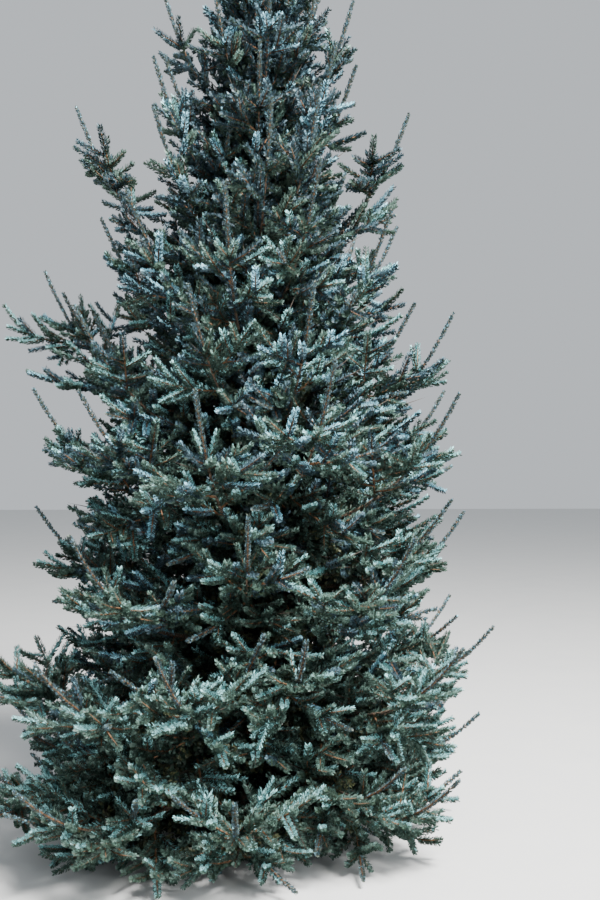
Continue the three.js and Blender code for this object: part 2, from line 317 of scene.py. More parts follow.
STOREYS_WITH_LIMBS = 2
BARE_SHARE = 0.3
# Boughs that are longer or shorter than their storey's reach, by storey and place.
STANDOUTS = {
    (1, 4): 1.1,
    (2, 3): 1.16,
    (3, 1): 0.88,
    (3, 3): 1.12,
    (3, 4): 1.08,
    (4, 3): 1.08,
    (5, 1): 1.06,
    (5, 3): 1.52,
    (6, 3): 0.88,
    (7, 2): 1.34,
    (7, 4): 1.14,
    (8, 2): 1.1,
    (8, 3): 1.12,
    (9, 2): 1.3,
    (9, 4): 1.2,
    (10, 2): 1.3,
}
HEIGHT_SPREAD = 0.055
TURN_SPREAD = 9
REACH_SPREAD = 0.07
BEND_SPREAD = 0.12
BETWEEN_REACH = 0.86
LONG_BETWEEN = {(1, 3): 1.05, (1, 4): 1.12, (2, 2): 0.95, (2, 3): 1.06, (3, 3): 1.02, (4, 4): 1.0}
BETWEEN_RISE = 0.11
BETWEEN_DROOP = 0.06
LIMB_RADIUS = 0.004
LIMB_RADIUS_PER_REACH = 0.013
SHOOT_RADIUS = 0.003
LIMB_SIDES = 10
LIMB_RINGS = 28
COLLAR_SWELL = 0.35
COLLAR_SHARE = 0.035
LIMB_RELIEF = 0.06
LIMB_LUMP = 1.3
LIMB_LUMPS_ALONG = 14
LIMB_SEED = 7

# What mixes the bits of a chance, and the number of the draw that each value has.
CHANCE_START = 20477
CHANCE_STEP = 101
CHANCE_FACTORS = (2654435761, 2246822519)
CHANCE_SHIFTS = (15, 13)
CHANCE_SIZE = 2**32
TURN_DRAW, REACH_DRAW, HEIGHT_DRAW, BEND_DRAW, ROLL_DRAW, LENGTH_DRAW, TWIST_DRAW = range(1, 8)


def chance(*numbers):
    """Chance from 0 to 1 for a numbered thing: the same numbers always give the same chance."""
    bits = CHANCE_START
    for number in numbers:
        bits ^= number + CHANCE_STEP
        for factor, shift in zip(CHANCE_FACTORS, CHANCE_SHIFTS):
            bits = bits * factor % CHANCE_SIZE
            bits ^= bits >> shift
    return bits / CHANCE_SIZE


def unit(vectors):
    return vectors / np.linalg.norm(vectors, axis=-1, keepdims=True)


class Bough:
    """One limb's line, from 0 at the trunk to 1 at its tip: where it is, its way and its thickness."""

    def __init__(self, storey, place, between=False):
        values = STOREYS[storey - 1]
        step = 360 / values["boughs"]
        share = STANDOUTS.get((storey, place), 1)
        if between:
            share = LONG_BETWEEN.get((storey, place), BETWEEN_REACH)
        self.storey = storey
        self.place = place
        self.number = place + (len(STOREYS) if between else 0)
        turn = values["turn"] + step * (place - (0.5 if between else 1))
        angle = math.radians(turn + TURN_SPREAD * self.spread(TURN_DRAW))
        self.out = values["reach"] * share * (1 + REACH_SPREAD * self.spread(REACH_DRAW))
        height = values["height"] + HEIGHT_SPREAD * self.spread(HEIGHT_DRAW)
        self.root = trunk_centre(height + BETWEEN_RISE * between)
        self.bend = BEND_SPREAD * self.spread(BEND_DRAW)
        self.start = values["start"] - BETWEEN_DROOP * between
        self.lift = values["lift"]
        self.ahead = np.array([math.cos(angle), math.sin(angle), 0.0])
        self.aside = np.array([-self.ahead[1], self.ahead[0], 0.0])

    def spread(self, *draw):
        """Chance from -1 to 1 for one of the bough's own values."""
        return 2 * chance(self.storey, self.number, *draw) - 1

    def point(self, t):
        t = np.asarray(t, dtype=float)[..., None]
        sideways = self.aside * self.bend * t * t
        upward = UP * (self.start * t + self.lift * t**3)
        return self.root + self.out * (self.ahead * t + sideways + upward)

    def heading(self, t):
        t = np.asarray(t, dtype=float)[..., None]
        return unit(self.ahead + self.aside * 2 * self.bend * t + UP * (self.start + 3 * self.lift * t * t))

    def radius(self, t):
        root = LIMB_RADIUS + LIMB_RADIUS_PER_REACH * self.out
        return root + (SHOOT_RADIUS - root) * np.asarray(t, dtype=float)


boughs = [Bough(s + 1, p + 1) for s, storey in enumerate(STOREYS) for p in range(storey["boughs"])]
between = [Bough(bough.storey, bough.place, True) for bough in boughs]

# The blank that every bough is bent from: a limb one unit long and one unit thick, drawn out ring by ring.
start_modelling()
bpy.ops.mesh.primitive_circle_add(vertices=LIMB_SIDES, radius=1, fill_type="NGON")
blank = bpy.context.object
bpy.ops.object.mode_set(mode="EDIT")
bpy.ops.mesh.select_all(action="SELECT")
for _ in range(LIMB_RINGS):
    bpy.ops.mesh.extrude_region_move(TRANSFORM_OT_translate={"value": (0, 0, 1 / LIMB_RINGS)})
bpy.ops.mesh.select_all(action="SELECT")
bpy.ops.mesh.normals_make_consistent(inside=False)
bpy.ops.object.mode_set(mode="OBJECT")
blank_points = points_of(blank)

limb_bark = bark_material("bough_bark", BARK_PLATE / 2, (0.21, 0.125, 0.075), (0.085, 0.05, 0.03))
for storey in range(1, len(STOREYS) + 1):
    limbs = []
    for bough in [b for b in boughs + between if b.storey == storey]:
        start_modelling()
        limb = bpy.data.objects.new("limb", blank.data.copy())
        bpy.context.scene.collection.objects.link(limb)
        t = np.clip(blank_points[:, 2], 0, 1)
        forward = bough.heading(t)
        side = unit(np.cross(UP, forward))
        over = np.cross(forward, side)
        collar = 1 + COLLAR_SWELL * np.exp(-t / COLLAR_SHARE)
        lumps = bark_waves(blank_points * [1, 1, LIMB_LUMPS_ALONG], LIMB_LUMP, LIMB_SEED + bough.place)
        size = (bough.radius(t) * collar * (1 + LIMB_RELIEF * lumps))[:, None]
        section = side * blank_points[:, :1] + over * blank_points[:, 1:2]
        place_points(limb, bough.point(t) + section * size)
        limbs.append(limb)
    start_modelling()
    for limb in limbs:
        limb.select_set(True)
    bpy.context.view_layer.objects.active = limbs[0]
    bpy.ops.object.join()
    wood = bpy.context.object
    wood.name = f"boughs_{storey}"
    bpy.ops.object.shade_smooth()
    wood.data.materials.append(limb_bark)
    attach(wood, "root")
    if storey <= STOREYS_WITH_LIMBS:
        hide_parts(*[f"bough_{storey}_{p + 1}" for p in range(STOREYS[storey - 1]["boughs"])])
bpy.data.objects.remove(blank)


# Fronds. The twigs that fork off a bough on all sides, and one that carries it on at its tip. Each is
# a spray: an axis that bends up, with side shoots in pairs along it and a leading shoot at its end. Near
# the trunk every second pair is old and short, because it has stopped growing in the shade.
FIRST_FROND = 0.14
LAST_FROND = 0.93
END_FROND_AT = 0.92
FROND_SPACING = 0.084
LEAST_FRONDS = 4
FINER_FRONDS = 1.35
OLD_FROND_SHARE = 0.6
OLD_FRONDS_UNTIL = 0.5
FROND_SPREAD = math.radians(54)
FROND_ROLLS = (-24, 42, -44, 20)
ROOT_ROLL_SHARE = 1.7
FROND_TWISTS = (50, -55, -40, 60)
TWIST_SHARE = 0.5
ANGLE_SPREAD = 9
FROND_MIN = 0.1
FROND_PER_REACH = 0.185
FROND_PER_REST = 0.42
LENGTH_SPREAD = 0.12
FROND_RISE = 0.16
END_FROND = 0.2
END_FROND_PER_REACH = 0.12
END_RISE = 0.3
LEADER_SHARE = 0.5
END_LEADER_SHARE = 0.8
LENGTH_TRIES = (1, 0.88, 0.76, 0.64, 0.52)
SPACE_LINE_STEPS = 8
GROUND_MARGIN = 0.012
TRUNK_MARGIN = 0.014
INTERLEAVING = 0.05
ROOM_NEEDED_AT = (0.4, 0.7, 1.0)
MIDDLE_AND_TIP = (0.5, 1.0)


class Frond:
    """A frond's line, from 0 at its foot to 1 at its tip, and the way that its side shoots spread."""

    def __init__(self, base, direction, in_plane, length, rise, leader, old=False):
        self.base = base
        self.old = old
        self.direction = direction
        self.beside = unit(in_plane - direction * (in_plane @ direction))
        self.length = length
        self.rise = rise
        self.leader = leader

    def point(self, w):
        w = np.asarray(w, dtype=float)[..., None]
        return self.base + self.length * (self.direction * w + UP * self.rise * w * w)

    def heading(self, w):
        w = np.asarray(w, dtype=float)[..., None]
        return unit(self.direction + UP * 2 * self.rise * w)


def turned(vector, axis, angle):
    """Vector turned about an axis of length one."""
    return (
        vector * math.cos(angle)
        + np.cross(axis, vector) * math.sin(angle)
        + axis * (axis @ vector) * (1 - math.cos(angle))
    )


def end_frond(bough):
    forward = bough.heading(END_FROND_AT)
    length = END_FROND + END_FROND_PER_REACH * bough.out
    level = unit(np.cross(UP, forward))
    return Frond(bough.point(END_FROND_AT), forward, level, length, END_RISE, END_LEADER_SHARE)


def side_fronds(bough):
    start = BARE_SHARE if bough.storey <= STOREYS_WITH_LIMBS else FIRST_FROND
    count = round(FINER_FRONDS * max(LEAST_FRONDS, bough.out * (LAST_FROND - start) / FROND_SPACING))
    grown = []
    for k in range(count):
        t = start + (LAST_FROND - start) * (k + 0.5) / count
        hand = 1 if (k + bough.number) % 2 else -1
        pair = k >> 1
        roll, twist = [
            math.radians(angles[pair % len(angles)] + ANGLE_SPREAD * bough.spread(draw, k))
            for angles, draw in ((FROND_ROLLS, ROLL_DRAW), (FROND_TWISTS, TWIST_DRAW))
        ]
        roll *= ROOT_ROLL_SHARE - t
        forward = bough.heading(t)
        side = unit(np.cross(UP, forward))
        over = np.cross(forward, side)
        outward = side * hand * math.cos(roll) + over * math.sin(roll)
        direction = forward * math.cos(FROND_SPREAD) + outward * math.sin(FROND_SPREAD)
        length = FROND_MIN + bough.out * (FROND_PER_REACH + FROND_PER_REST * (1 - t))
        length *= 1 + LENGTH_SPREAD * bough.spread(LENGTH_DRAW, k)
        old = t < OLD_FRONDS_UNTIL and pair % 2 == 1
        length *= OLD_FROND_SHARE if old else 1
        in_plane = turned(forward, direction, hand * twist * TWIST_SHARE)
        grown.append(Frond(bough.point(t), direction, in_plane, length, FROND_RISE, LEADER_SHARE, old))
    return grown


# The lines that share out the crown's space between the boughs, cut into straight steps.
space_lines = []
for bough in boughs:
    last = end_frond(bough)
    along = bough.point(np.arange(1, SPACE_LINE_STEPS + 1) / SPACE_LINE_STEPS)
    space_lines.append(np.vstack([along, last.point(MIDDLE_AND_TIP)]))
step_starts = np.vstack([line[:-1] for line in space_lines])
step_ways = np.vstack([line[1:] for line in space_lines]) - step_starts
step_lengths = np.sum(step_ways**2, axis=1)
steps_per_line = len(space_lines[0]) - 1


def has_room(points, own):
    """Which points are off the trunk, above the ground and not far inside another bough's space."""
    from_axis = np.linalg.norm((points - trunk_centre(points[:, 2]))[:, :2], axis=1)
    free = (from_axis - trunk_radius(points[:, 2]) > TRUNK_MARGIN) & (points[:, 2] > GROUND_MARGIN)
    if own is None:
        return free
    offsets = points[:, None, :] - step_starts
    share = np.clip(np.sum(offsets * step_ways, axis=2) / step_lengths, 0, 1)
    distances = np.linalg.norm(offsets - share[..., None] * step_ways, axis=2)
    nearest = distances.reshape(len(points), len(boughs), steps_per_line).min(axis=2)
    others = np.delete(nearest, own, axis=1).min(axis=1)
    return free & (nearest[:, own] < others + INTERLEAVING)


def fitted(frond, own):
    """The frond at the longest of its lengths that has room, or nothing."""
    full = frond.length
    for share in LENGTH_TRIES:
        frond.length = full * share
        if has_room(frond.point(ROOM_NEEDED_AT), own).all():
            return frond
    return None


# A bough between has no space of its own, and its fronds grow through the others' spaces.
fronds_by_bough = []
owners = list(range(len(boughs))) + [None] * len(between)
for own, bough in zip(owners, boughs + between):
    grown = [fitted(frond, own) for frond in side_fronds(bough) + [end_frond(bough)]]
    fronds_by_bough.append([frond for frond in grown if frond])


# Shoots. This year's and last year's growth: thin orange-brown twigs that carry all the needles. They stand
# in pairs along a frond, lean forward and turn up a little, and the long ones fork once more. Low on the
# tree they droop, and high up they lie flatter. Flatness and droop go by storey.
SHOOT_SPACING = 0.056
OLD_SHOOT_SPACING = 0.075
FIRST_SHOOT = 0.035
SHOOT_TILT = 50
SHOOT_TILT_SPREAD = 9
SHOOT_ELEVATIONS = (-6, 24, 8, -18, 38)
SHOOT_MIN = 0.108
SHOOT_PER_FROND = 0.18
SHOOT_NARROWING = 0.38
SHOOT_LENGTH_SPREAD = 0.18
SHOOT_FLATNESS = ((1, 5, 8), (0.8, 0.55, 0.2))
SHOOT_DROOP = ((1, 4, 7), (0.28, 0.18, 0))
SHOOT_LIFT_SPREAD = 0.15
SHOOT_CURVE = 0.14
SHOOT_CURVE_RANGE = (0.3, 1.7)
SHOOT_STAGGER = 0.25
SHOOT_START = 0.02
HAND_SHIFT = 2
ELEVATION_SPREAD = 8
SHOOT_TRIES = (1, 0.8, 0.62, 0.48)

# Forks, the needled stretches of the wood itself, and the long leaders with their stars of shoots.
FORKED_FROM = 0.16
FORK_PLACES = (0.34, 0.6)
FORK_SHARE = 0.5
FORK_NARROWING = 1.15
FORK_RANGE = (0.85, 1.25)
LOWEST_FORK_LIFT = -0.6
LEAST_FORK = 0.05
AXIS_SHOOT = 0.09
AXIS_FROM = 0.04
BOUGH_NEEDLES_FROM = 0.35
LONG_LEADER_EVERY = 3
STAR_SHOOTS = 4
STAR_SHOOT = 0.095
STAR_RANGE = (0.75, 1.25)
STAR_TURN = 0.3
STAR_LEAN = 48
STAR_LEAN_SPREAD = 8
SHORT_LEADER = 0.09

# A table of shoots has one row for each, with these columns. A shoot's kind is one of the four below them.
BASE, WAY, LENGTH, CURVE, KIND, STOREY, SPRAY = slice(0, 3), slice(3, 6), 6, 7, 8, 9, 10
SIDE, AXIS, LEADER, OLD = range(4)
NEARLY_UPRIGHT = 0.03

growth = np.random.default_rng(41)
shoot_rows = []


def across(ways):
    """Two directions square to each way: a level one, and one as near to straight up as it can be."""
    level = np.cross(ways, UP)
    upright = np.linalg.norm(level, axis=-1) < NEARLY_UPRIGHT
    level[upright] = np.cross(ways[upright], [0.0, 1.0, 0.0])
    level = unit(level)
    return level, np.cross(level, ways)


def spread_of(count, low=-1.0, high=1.0):
    return growth.uniform(low, high, count)


def add_shoots(bases, ways, lengths, curves, kind, storey, spray):
    facts = np.tile([kind, storey, spray], (len(lengths), 1))
    shoot_rows.append(np.column_stack([bases, ways, lengths, curves, facts]))


def add_fitting(bases, ways, lengths, own, kind, storey, spray):
    """Adds each shoot at the longest of its lengths that has room, and returns those that were added."""
    chosen = np.zeros(len(lengths))
    for share in SHOOT_TRIES:
        waiting = np.flatnonzero(chosen == 0)
        if len(waiting):
            tips = bases[waiting] + ways[waiting] * (lengths[waiting] * share)[:, None]
            fits = has_room(tips, own)
            chosen[waiting[fits]] = lengths[waiting[fits]] * share
    kept = chosen > 0
    curves = SHOOT_CURVE * spread_of(len(lengths), *SHOOT_CURVE_RANGE)
    add_shoots(bases[kept], ways[kept], chosen[kept], curves[kept], kind, storey, spray)
    return bases[kept], ways[kept], chosen[kept], curves[kept]


def tilted(forward, sideways, count):
    tilt = np.radians(SHOOT_TILT + SHOOT_TILT_SPREAD * spread_of(count))[:, None]
    return forward * np.cos(tilt) + sideways * np.sin(tilt)


def add_forks(frond, base, way, length, curve, own, storey, spray):
    """Two pairs of smaller shoots on a long one, in its frond's plane."""
    side = unit(np.cross(np.cross(frond.direction, frond.beside), way))
    places = np.repeat(FORK_PLACES, 2)
    hands = np.tile([1.0, -1.0], len(FORK_PLACES))[:, None]
    lift = UP * SHOOT_LIFT_SPREAD * spread_of(len(places), LOWEST_FORK_LIFT)[:, None]
    ways = tilted(way, side * hands, len(places)) + lift
    ways[:, 2] *= np.interp(storey, *SHOOT_FLATNESS)
    ways = unit(ways)
    lengths = FORK_SHARE * length * (FORK_NARROWING - places) * spread_of(len(places), *FORK_RANGE)
    bases = base + way * (length * places)[:, None] + UP * (curve * length * places**2)[:, None]
    add_fitting(bases, ways, np.maximum(lengths, LEAST_FORK), own, SIDE, storey, spray)


def add_side_shoots(frond, own, storey, spray):
    last = 1 - frond.leader
    spacing = (OLD_SHOOT_SPACING if frond.old else SHOOT_SPACING) / frond.length
    kind = OLD if frond.old else SIDE
    places = np.arange(FIRST_SHOOT / frond.length, last, spacing)
    longest = SHOOT_MIN + SHOOT_PER_FROND * frond.length
    over = np.cross(frond.direction, frond.beside)
    over *= 1 if over[2] > 0 else -1
    droop = np.interp(storey, *SHOOT_DROOP)
    for hand in (1, -1):
        stagger = SHOOT_STAGGER * spacing * (hand + spread_of(len(places)))
        w = np.clip(places + stagger, SHOOT_START, last)
        turns = np.arange(len(w)) + (spray if hand == 1 else spray + HAND_SHIFT)
        elevation = np.take(SHOOT_ELEVATIONS, turns % len(SHOOT_ELEVATIONS))
        elevation = np.radians(elevation + ELEVATION_SPREAD * spread_of(len(w)))[:, None]
        sideways = frond.beside * hand * np.cos(elevation) + over * np.sin(elevation)
        lift = (2 * frond.rise * w - droop + SHOOT_LIFT_SPREAD * spread_of(len(w)))[:, None]
        ways = tilted(frond.direction, sideways, len(w)) + UP * lift
        ways[:, 2] *= np.interp(storey, *SHOOT_FLATNESS)
        ways = unit(ways)
        lengths = longest * (1 - SHOOT_NARROWING * w) * (1 + SHOOT_LENGTH_SPREAD * spread_of(len(w)))
        added = add_fitting(frond.point(w), ways, lengths, own, kind, storey, spray)
        for base, way, length, curve in zip(*added):
            if length > FORKED_FROM and not frond.old:
                add_forks(frond, base, way, length, curve, own, storey, spray)


def add_along(point, start, end, length, kind, storey, spray):
    """The needled stretch of a frond's or a bough's own wood, as shoots laid end to end."""
    edges = np.linspace(start, end, max(1, round(length * (end - start) / AXIS_SHOOT)) + 1)
    bases = point(edges[:-1])
    spans = point(edges[1:]) - bases
    lengths = np.linalg.norm(spans, axis=1)
    add_shoots(bases, spans / lengths[:, None], lengths, np.zeros(len(lengths)), kind, storey, spray)


def add_star(frond, own, storey, spray):
    """The ring of shoots that opens where a long leader begins."""
    forward = frond.heading(1 - frond.leader)
    side, over = across(forward[None])
    around = 2 * math.pi * (np.arange(STAR_SHOOTS) + STAR_TURN * spread_of(STAR_SHOOTS) + 0.5) / STAR_SHOOTS
    outward = side * np.cos(around)[:, None] + over * np.sin(around)[:, None]
    lean = np.radians(STAR_LEAN + STAR_LEAN_SPREAD * spread_of(STAR_SHOOTS))[:, None]
    ways = forward * np.cos(lean) + outward * np.sin(lean)
    bases = np.tile(frond.point(1 - frond.leader), (STAR_SHOOTS, 1))
    lengths = STAR_SHOOT * spread_of(STAR_SHOOTS, *STAR_RANGE)
    add_fitting(bases, ways, lengths, own, SIDE, storey, spray)


def add_frond(frond, own, storey, spray):
    """A frond's shoots. Some fronds end in a long leader, and most in a shoot like those at their sides."""
    long_leader = not frond.old and (frond.leader == END_LEADER_SHARE or spray % LONG_LEADER_EVERY == 0)
    if not long_leader:
        frond.leader = min(frond.leader, SHORT_LEADER / frond.length)
    add_side_shoots(frond, own, storey, spray)
    add_along(frond.point, AXIS_FROM, 1 - frond.leader, frond.length, AXIS, storey, spray)
    if long_leader:
        add_star(frond, own, storey, spray)
    tip_kind = OLD if frond.old else LEADER if long_leader else SIDE
    add_along(frond.point, 1 - frond.leader, 1, frond.length, tip_kind, storey, spray)


spray = 0
fronds_by_storey = [[] for _ in STOREYS]
for own, bough, fronds in zip(owners, boughs + between, fronds_by_bough):
    for frond in fronds:
        spray += 1
        add_frond(frond, own, bough.storey, spray)
        fronds_by_storey[bough.storey - 1].append(frond)
    add_along(bough.point, BOUGH_NEEDLES_FROM, END_FROND_AT, bough.out, AXIS, bough.storey, spray)

# Small fronds grow straight from the trunk all the way up and hide it, a golden angle apart.
GOLDEN_HALF_TURNS = 3 - math.sqrt(5)
INNER_SPACING = 0.012
INNER_FROM = 0.16
INNER_ABOVE = 0.1
INNER_TURN = 0.4
INNER_SLOPE = 0.25
INNER_REACH = 0.8
INNER_MIN = 0.12
INNER_RISE = 0.12

storey_heights, storey_reaches, storey_slopes = [
    [storey[fact] for storey in STOREYS] for fact in ("height", "reach", "start")
]
inner_heights = np.arange(INNER_FROM, storey_heights[-1] + INNER_ABOVE, INNER_SPACING)
for number, height in enumerate(inner_heights):
    angle = number * math.pi * GOLDEN_HALF_TURNS + INNER_TURN * spread_of(1)[0]
    reach = np.interp(height, storey_heights, storey_reaches)
    slope = np.interp(height, storey_heights, storey_slopes) + INNER_SLOPE * spread_of(1)[0]
    level = np.array([math.cos(angle), math.sin(angle), 0.0])
    storey = 1 + int(np.argmin(np.abs(np.array(storey_heights) - height)))
    way = unit(level + UP * slope)
    length = (INNER_MIN + INNER_REACH * reach) * (1 + LENGTH_SPREAD * spread_of(1)[0])
    frond = Frond(trunk_centre(height), way, np.cross(UP, way), length, INNER_RISE, LEADER_SHARE, True)
    if has_room(frond.point(MIDDLE_AND_TIP), None).all():
        spray += 1
        add_frond(frond, None, storey, spray)
        fronds_by_storey[storey - 1].append(frond)

# The trunk's own top is a leader too, with a few short shoots standing up round it.
LEADER_FROM = 3.2
TOP_WHORLS = (3.3, 3.42, 3.52, 3.62, 3.72, 3.8)
WHORL_TURN = 0.4
TOP_SHOOTS = 5
TOP_SHOOT = 0.16
TOP_SHOOT_LEAST = 0.04
TOP_SHOOT_RANGE = (0.8, 1.2)
TOP_SHOOT_TURN = 0.3
TOP_SHOOT_LEAN = math.radians(42)
TOP_LENGTH = TREE_HEIGHT - LEADER_FROM


def top_point(share):
    return trunk_centre(LEADER_FROM + TOP_LENGTH * share)


spray += 1
add_along(top_point, 0, 1, TOP_LENGTH, LEADER, len(STOREYS), spray)
for whorl, height in enumerate(TOP_WHORLS):
    angles = 2 * math.pi * (np.arange(TOP_SHOOTS) + WHORL_TURN * whorl) / TOP_SHOOTS
    angles = angles + TOP_SHOOT_TURN * spread_of(TOP_SHOOTS)
    level = np.stack([np.cos(angles), np.sin(angles), 0 * angles], axis=1)
    lengths = TOP_SHOOT * (TREE_HEIGHT - height) / TOP_LENGTH * spread_of(TOP_SHOOTS, *TOP_SHOOT_RANGE)
    ways = level * math.sin(TOP_SHOOT_LEAN) + UP * math.cos(TOP_SHOOT_LEAN)
    bases = np.tile(trunk_centre(height), (TOP_SHOOTS, 1))
    curves = np.full(TOP_SHOOTS, SHOOT_CURVE)
    add_shoots(bases, ways, lengths + TOP_SHOOT_LEAST, curves, SIDE, len(STOREYS), spray)

shoots = np.vstack(shoot_rows)

# Needles live where light reaches. A shoot's view is the share of the light outside that reaches its tip
# past the layers of other shoots, over a fan of ways outward and up. Side shoots in the dark have died, and
# no old shoot stands in the open.
VIEW_CELL = 0.05
VIEW_STEPS = 10
VIEW_MARGIN = 1
SHOOT_HALVES = (0.25, 0.75)
SHOOT_THICKNESS = 0.032
VIEW_TURNS = (-60, -30, 0, 30, 60)
VIEW_RISES = (-15, 15, 45)
DEAD_VIEW = 0.012
MOST_OLD_VIEW = 0.7

tips = shoots[:, BASE] + shoots[:, WAY] * shoots[:, LENGTH : LENGTH + 1]
low_corner = tips.min(axis=0) - VIEW_MARGIN
cells = np.zeros(tuple(((tips.max(axis=0) + VIEW_MARGIN - low_corner) / VIEW_CELL).astype(int) + 1))
for share in SHOOT_HALVES:
    inside = shoots[:, BASE] + (tips - shoots[:, BASE]) * share
    place = ((inside - low_corner) / VIEW_CELL).astype(int)
    np.add.at(cells, tuple(place.T), shoots[:, LENGTH] / 2 * SHOOT_THICKNESS / VIEW_CELL**2)
view = np.zeros(len(shoots))
outward_angle = np.arctan2(tips[:, 1], tips[:, 0])
for turn in VIEW_TURNS:
    for rise in np.radians(VIEW_RISES):
        angle = outward_angle + math.radians(turn)
        flat = math.cos(rise)
        way = np.stack([np.cos(angle) * flat, np.sin(angle) * flat, 0 * angle + math.sin(rise)], axis=1)
        layers = np.zeros(len(tips))
        for step in range(1, VIEW_STEPS + 1):
            place = ((tips + way * step * VIEW_CELL - low_corner) / VIEW_CELL).astype(int)
            layers += cells[tuple(np.clip(place, 0, np.array(cells.shape) - 1).T)]
        view += np.exp(-layers) / (len(VIEW_TURNS) * len(VIEW_RISES))
old = shoots[:, KIND] == OLD
alive = np.where(old, view < MOST_OLD_VIEW, (view > DEAD_VIEW) | (shoots[:, KIND] != SIDE))
shoots, view = shoots[alive], view[alive]


def joined_mesh(name, points, triangles, material):
    """One piece from arrays of points and of triangles that point outwards."""
    mesh = bpy.data.meshes.new(name)
    mesh.vertices.add(len(points))
    mesh.vertices.foreach_set("co", np.ascontiguousarray(points, dtype=np.float32).ravel())
    mesh.loops.add(3 * len(triangles))
    mesh.loops.foreach_set("vertex_index", np.ascontiguousarray(triangles, dtype=np.int32).ravel())
    mesh.polygons.add(len(triangles))
    mesh.polygons.foreach_set("loop_start", np.arange(0, 3 * len(triangles), 3, dtype=np.int32))
    mesh.update(calc_edges=True)
    mesh.materials.append(material)
    piece = bpy.data.objects.new(name, mesh)
    bpy.context.scene.collection.objects.link(piece)
    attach(piece, "root")
    return piece


def tapered_twigs(lines, radii, sides):
    """Points and triangles of twigs along lines of stations, closed at the foot and pointed at the tip."""
    count, stations = lines.shape[:2]
    ways = unit(np.gradient(lines, axis=1))
    side, over = across(ways)
    angles = 2 * math.pi * np.arange(sides) / sides
    ring = side[:, :-1, None] * np.cos(angles)[:, None] + over[:, :-1, None] * np.sin(angles)[:, None]
    rings = lines[:, :-1, None] + ring * radii[:, :-1, None, None]
    points = np.concatenate([rings.reshape(count, -1, 3), lines[:, -1:]], axis=1)
    here = np.arange(sides)
    after = (here + 1) % sides
    faces = [np.stack([np.zeros(sides - 2, int), here[2:], here[1:-1]], axis=1)]
    for station in range(stations - 2):
        low, high = station * sides, (station + 1) * sides
        faces.append(np.stack([low + here, low + after, high + after], axis=1))
        faces.append(np.stack([low + here, high + after, high + here], axis=1))
    last = (stations - 2) * sides
    faces.append(np.stack([last + here, last + after, np.full(sides, last + sides)], axis=1))
    faces = np.vstack(faces)
    each = points.shape[1]
    return points.reshape(-1, 3), (faces + each * np.arange(count)[:, None, None]).reshape(-1, 3)


PATCH_SHARE = 0.7
SCAR_SHARE = 0.3


def twig_material(name, light, dark):
    """Thin bark of a shoot: brown in paler and darker patches, with small rough scars."""
    material, add, place, shader = new_material(name, 0.7, 0.3)
    patches = noise(add, place, 55.0, 3.0, 0.6)
    scars = noise(add, place, 600.0, 2.0, 0.5)
    mixed(add, patches * PATCH_SHARE + scars * SCAR_SHARE, light, dark).feed(shader.inputs["Base Color"])
    emboss(add, shader, scars, 0.4, 0.0008)
    return material


# The storeys are joined in groups, so that each piece stays small enough.
STOREY_GROUPS = {
    "lowest": (1, 1),
    "low": (2, 2),
    "lower_middle": (3, 3),
    "middle": (4, 5),
    "high": (6, 7),
    "top": (8, 11),
}
TWIG_RADIUS = 0.0028
TWIG_RADIUS_PER_LENGTH = 0.006
TWIG_FOOT = 1.15
TWIG_TAPER = 0.5
TWIG_SIDES = 3
CLEAR_STATIONS = (0, 0.55, 0.97)
DIM_STATIONS = (0, 0.97)
FROND_RADIUS = 0.003
FROND_RADIUS_PER_LENGTH = 0.005
FROND_TAPER = 0.5
FROND_STATIONS = 5
FROND_SIDES = 4
CLEAR_VIEW = 0.7


def shoot_twigs(rows, stations):
    """The twigs of shoots, with their stations at the given shares of each shoot's length."""
    u = np.array(stations)
    bends = UP * rows[:, CURVE, None, None] * u[:, None] ** 2
    lines = rows[:, None, BASE] + rows[:, LENGTH, None, None] * (rows[:, None, WAY] * u[:, None] + bends)
    thick = TWIG_RADIUS + TWIG_RADIUS_PER_LENGTH * rows[:, LENGTH]
    return tapered_twigs(lines, thick[:, None] * (TWIG_FOOT - TWIG_TAPER * u), TWIG_SIDES)


def frond_twigs(fronds):
    w = np.linspace(0, 1, FROND_STATIONS)
    lines = np.array([frond.point(w) for frond in fronds])
    thick = np.array([FROND_RADIUS + FROND_RADIUS_PER_LENGTH * frond.length for frond in fronds])
    return tapered_twigs(lines, thick[:, None] * (1 - FROND_TAPER * w), FROND_SIDES)


shoot_bark = twig_material("shoot_bark", (0.27, 0.14, 0.07), (0.12, 0.065, 0.036))
# The dark bark is the old fronds' own grey wood, and painted shade on the twigs of shoots that little light
# reaches.
old_and_shaded_bark = twig_material("old_and_shaded_twig_bark", (0.07, 0.052, 0.04), (0.03, 0.023, 0.018))
# Shoots along a frond's or a bough's own wood, its leader too, need no twigs of their own.
has_wood = (shoots[:, KIND] == AXIS) | (shoots[:, KIND] == LEADER)
for group, (first, last) in STOREY_GROUPS.items():
    here = ~has_wood & (shoots[:, STOREY] >= first) & (shoots[:, STOREY] <= last)
    # Painted shade: twigs of shoots that little light reaches take the dark bark.
    clear = here & (view > CLEAR_VIEW / 2)
    fronds = [frond for storey in range(first, last + 1) for frond in fronds_by_storey[storey - 1]]
    young_fronds = [frond for frond in fronds if not frond.old]
    old_fronds = [frond for frond in fronds if frond.old]
    young_and_lit_parts = [shoot_twigs(shoots[clear], CLEAR_STATIONS), frond_twigs(young_fronds)]
    old_and_shaded_parts = [shoot_twigs(shoots[here & ~clear], DIM_STATIONS), frond_twigs(old_fronds)]
    for name, parts, bark in (("twigs", young_and_lit_parts, shoot_bark), ("old_and_shaded_twigs", old_and_shaded_parts, old_and_shaded_bark)):
        shifts = np.cumsum([0] + [len(points) for points, _ in parts])
        triangles = np.vstack([triangles + shift for (_, triangles), shift in zip(parts, shifts)])
        twigs = joined_mesh(f"{name}_{group}", np.vstack([points for points, _ in parts]), triangles, bark)
